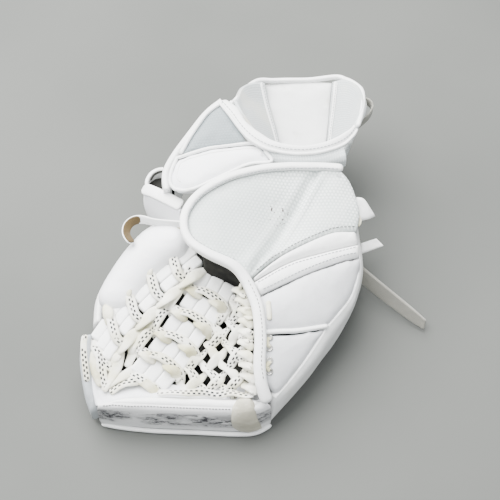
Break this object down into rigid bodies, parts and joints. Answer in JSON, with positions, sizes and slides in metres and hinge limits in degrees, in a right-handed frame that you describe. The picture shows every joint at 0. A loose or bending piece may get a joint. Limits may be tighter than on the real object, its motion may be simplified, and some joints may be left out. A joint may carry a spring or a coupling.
{
  "type": "goalie catch glove",
  "caption": "Padded ice hockey goalkeeper catching glove for the right hand, with laced pocket, spine of leather blocks, cuff and straps.",
  "frame": {"origin": "centre of the flat back pad, in the plane that the glove rests on", "axes": "+Y from the finger tips to the cuff, +X from the thumb to the little finger, +Z out of the palm"},
  "size_m": [0.387, 0.4319, 0.1492],
  "materials": {
    "white_leather": "coated synthetic leather, satin",
    "embossed_fabric": "coated fabric with a fine hexagon emboss",
    "grey_fabric": "hexagon-printed grey fabric",
    "black_lining": "black lining leather",
    "lace_fabric": "flat woven lace, cream with black flecks",
    "eyelet_metal": "nickel-plated",
    "stiff_plastic": "moulded board",
    "mesh_lining": "spacer mesh over padding",
    "strap_webbing": "woven strap, worn at the end"
  },
  "bodies": {
    "palm": {"back_rest_pad": "white_leather", "break_band_lower": "white_leather", "break_band_upper": "white_leather", "eyelets": "eyelet_metal", "finger_back_pad": "white_leather", "finger_gusset_1": "black_lining", "finger_gusset_2": "black_lining", "finger_gusset_3": "black_lining", "finger_pad": "white_leather", "finger_side_band": "white_leather", "hand_board": "stiff_plastic", "heel_binding_palm_side": "white_leather", "heel_pad_palm_side": "embossed_fabric", "heel_side_wall": "white_leather", "knuckle_pad": "white_leather", "palm_edge_binding": "white_leather", "palm_liner": "black_lining", "palm_pad": "white_leather", "perimeter_roll_finger_side": "white_leather", "pocket_liner": "black_lining", "roll_tab": "white_leather", "web_lace": "lace_fabric", "wrist_back_band": "white_leather", "wrist_closure_flap": "white_leather", "wrist_strap_anchor": "strap_webbing"},
    "thumb": {"heel_pad_thumb_side": "embossed_fabric", "heel_binding": "white_leather", "thumb_roll": "white_leather", "thumb_back_board": "white_leather", "thumb_liner": "black_lining", "t_bar": "white_leather", "perimeter_roll_thumb_side": "white_leather", "spine_blocks_outer": "white_leather", "spine_blocks_inner": "white_leather", "spine_backing": "white_leather", "spine_lace": "lace_fabric", "thumb_strap": "white_leather", "thumb_side_wall": "white_leather"},
    "cuff": {"cuff_back_panel": "white_leather", "cuff_shell": "stiff_plastic", "cuff_wing_left": "mesh_lining", "cuff_wing_right": "mesh_lining", "cuff_rim_binding": "white_leather", "cuff_collar": "white_leather", "collar_band": "white_leather", "wrist_side_panel": "grey_fabric", "wrist_pad": "white_leather", "thumb_gusset": "white_leather", "thumb_gusset_strap": "white_leather", "cuff_pull_loop": "strap_webbing", "cuff_side_wall": "white_leather"},
    "hand_strap": {"hand_strap": "strap_webbing"},
    "wrist_strap": {"wrist_strap": "strap_webbing"}
  },
  "joints": [
    {"name": "glove_close", "type": "hinge", "parent": "palm", "child": "thumb", "pos_m": [0.077, 0.068, 0.119], "axis": [0.4824, 0.8416, 0.2428], "range_deg": [0, 35], "deforming": ["web_lace", "pocket_liner"]},
    {"name": "cuff_flex", "type": "hinge", "parent": "palm", "child": "cuff", "pos_m": [0, 0.072, 0.122], "axis": [1, 0, 0], "range_deg": [-8, 12]},
    {"name": "hand_strap_swing", "type": "hinge", "parent": "palm", "child": "hand_strap", "pos_m": [0.128, -0.0105, 0.019], "axis": [0, 0, 1], "range_deg": [-12, 20]},
    {"name": "wrist_strap_lift", "type": "hinge", "parent": "palm", "child": "wrist_strap", "pos_m": [0.129, 0.025, 0.0375], "axis": [0, -1, 0], "range_deg": [0, 40]}
  ]
}
